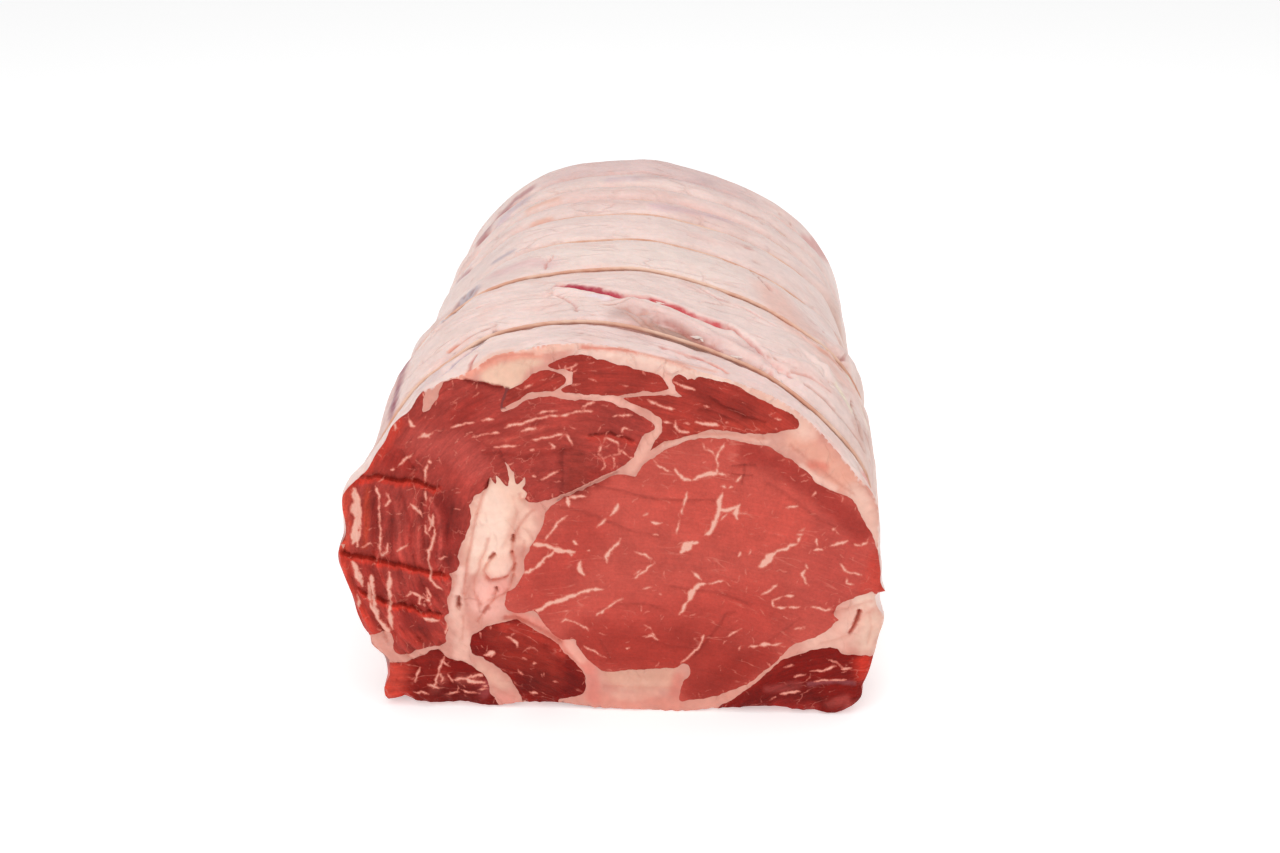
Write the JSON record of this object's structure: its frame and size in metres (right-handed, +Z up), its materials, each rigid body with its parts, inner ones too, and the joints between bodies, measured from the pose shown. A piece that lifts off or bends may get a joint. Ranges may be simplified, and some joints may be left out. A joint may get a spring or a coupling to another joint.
{
  "type": "raw beef rib roast",
  "caption": "Raw boneless beef rib roast, rolled and tied with butcher's twine, with a fat cap over marbled muscles and a flat cut face at each end.",
  "frame": {"origin": "middle of the underside, on the plane the roast rests on", "axes": "+X to the right seen from the front cut, +Y from the front cut to the back cut along the roast, +Z up through the fat cap"},
  "size_m": [0.2041, 0.275, 0.1494],
  "materials": {
    "lean_eye": "moist, finely marbled raw lean, satin",
    "lean_cap": "moist dark red raw lean, satin",
    "lean_lip": "moist coarse-grained raw lean, satin",
    "lean_rib": "moist deep red raw lean, satin",
    "fat": "waxy pale pink-white fat, soft sheen",
    "twine": "twisted cotton, matt"
  },
  "bodies": {
    "root": {"eye_muscle": "lean_eye", "cap_muscle": "lean_cap", "cap_muscle_tip": "lean_cap", "cap_muscle_side": "lean_cap", "lip_muscle": "lean_lip", "rib_muscle_left": "lean_rib", "rib_muscle_middle": "lean_rib", "rib_muscle_right": "lean_rib", "fat": "fat", "twine_1": "twine", "twine_2": "twine", "twine_3": "twine", "twine_4": "twine", "twine_5": "twine", "twine_6": "twine", "twine_7": "twine"}
  },
  "joints": []
}
